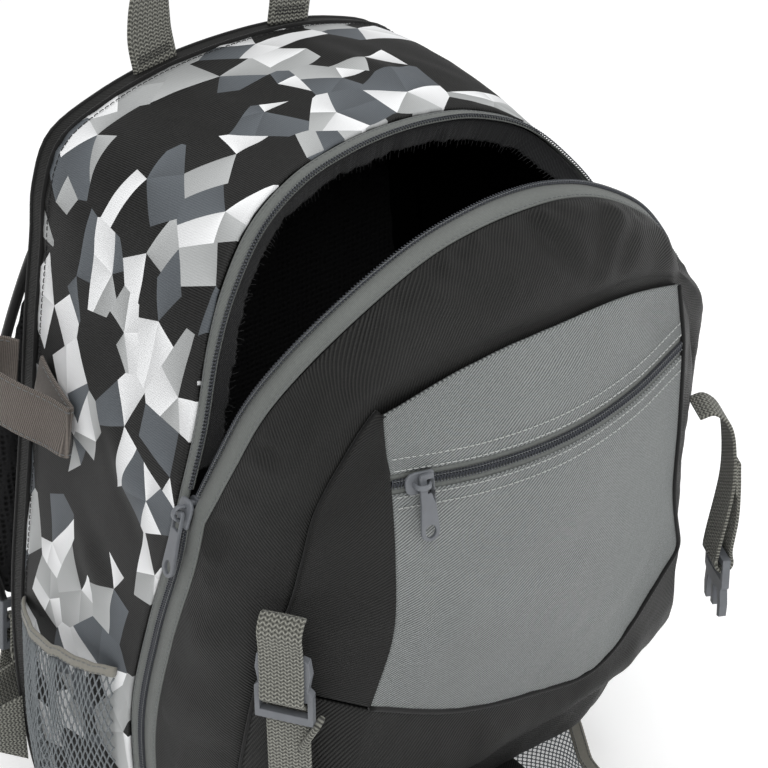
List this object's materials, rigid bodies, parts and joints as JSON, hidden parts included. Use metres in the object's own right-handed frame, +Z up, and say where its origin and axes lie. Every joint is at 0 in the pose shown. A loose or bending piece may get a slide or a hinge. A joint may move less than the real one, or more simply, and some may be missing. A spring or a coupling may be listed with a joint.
{
  "type": "bat backpack",
  "caption": "Soft backpack with an arched zip mouth standing open, a zipped front pocket, net side pockets, bat loops, a grab handle, padded shoulder straps and a gear flap.",
  "frame": {"origin": "on the floor under the middle of the base, 85 mm in front of the back seam", "axes": "+Z up, -Y towards the front pocket, +X to the right seen from the front"},
  "size_m": [0.341, 0.3855, 0.4563],
  "materials": {
    "printed_cloth": "printed polyester, matte",
    "black_twill": "black twill",
    "grey_twill": "grey twill",
    "padded_mesh": "black air mesh over foam",
    "zip_tape": "woven tape",
    "zip_coil": "nylon coil on tape",
    "facing_cloth": "torn-edged lining",
    "webbing": "ribbed grey webbing",
    "loop_band": "taupe band",
    "net": "knitted net",
    "binding": "folded binding tape",
    "grey_plastic": "satin moulded plastic"
  },
  "bodies": {
    "bag": {"printed_gusset": "printed_cloth", "front_panel": "black_twill", "base_panel": "black_twill", "pocket_side_left": "black_twill", "pocket_side_right": "black_twill", "pocket_band": "black_twill", "flap_centre": "black_twill", "pocket_face_upper": "grey_twill", "pocket_face_lower": "grey_twill", "back_panel": "padded_mesh", "shoulder_strap_left": "padded_mesh", "shoulder_strap_right": "padded_mesh", "rear_zip_tape": "zip_tape", "front_zip_tape": "zip_tape", "rear_zip_teeth": "zip_coil", "front_zip_teeth": "zip_coil", "closed_zip_left": "zip_coil", "closed_zip_right": "zip_coil", "pocket_zip": "zip_coil", "rear_facing": "facing_cloth", "grab_handle": "webbing", "strap_left": "webbing", "strap_right": "webbing", "anchor_tab_left": "webbing", "anchor_tab_right": "webbing", "shoulder_webbing_left": "webbing", "shoulder_webbing_right": "webbing", "flap_tab_left": "webbing", "flap_tab_right": "webbing", "bat_loop_left": "loop_band", "bat_loop_right": "loop_band", "side_net_left": "net", "side_net_right": "net", "flap_net_left": "net", "flap_net_right": "net", "side_binding_left": "binding", "side_binding_right": "binding", "flap_edge_tape": "binding", "left_zip_slider": "grey_plastic", "right_zip_slider": "grey_plastic", "pocket_zip_slider": "grey_plastic", "plug_left": "grey_plastic", "plug_right": "grey_plastic", "adjuster_left": "grey_plastic", "adjuster_right": "grey_plastic", "flap_socket_left": "grey_plastic", "flap_socket_right": "grey_plastic"},
    "left_pull": {"left_zip_pull": "grey_plastic"},
    "right_pull": {"right_zip_pull": "grey_plastic"},
    "pocket_pull": {"pocket_zip_pull": "grey_plastic"}
  },
  "joints": [
    {"name": "left_pull_lift", "type": "hinge", "parent": "bag", "child": "left_pull", "pos_m": [-0.13811, -0.05258, 0.27106], "axis": [0.1215, 0.9926, 0.0047], "range_deg": [0, 150]},
    {"name": "right_pull_lift", "type": "hinge", "parent": "bag", "child": "right_pull", "pos_m": [0.13811, -0.05258, 0.27106], "axis": [0.1215, -0.9926, -0.0047], "range_deg": [0, 150]},
    {"name": "pocket_pull_swing", "type": "hinge", "parent": "bag", "child": "pocket_pull", "pos_m": [-0.07096, -0.13129, 0.29653], "axis": [-0.2305, -0.9694, 0.0846], "range_deg": [-8, 8]}
  ]
}
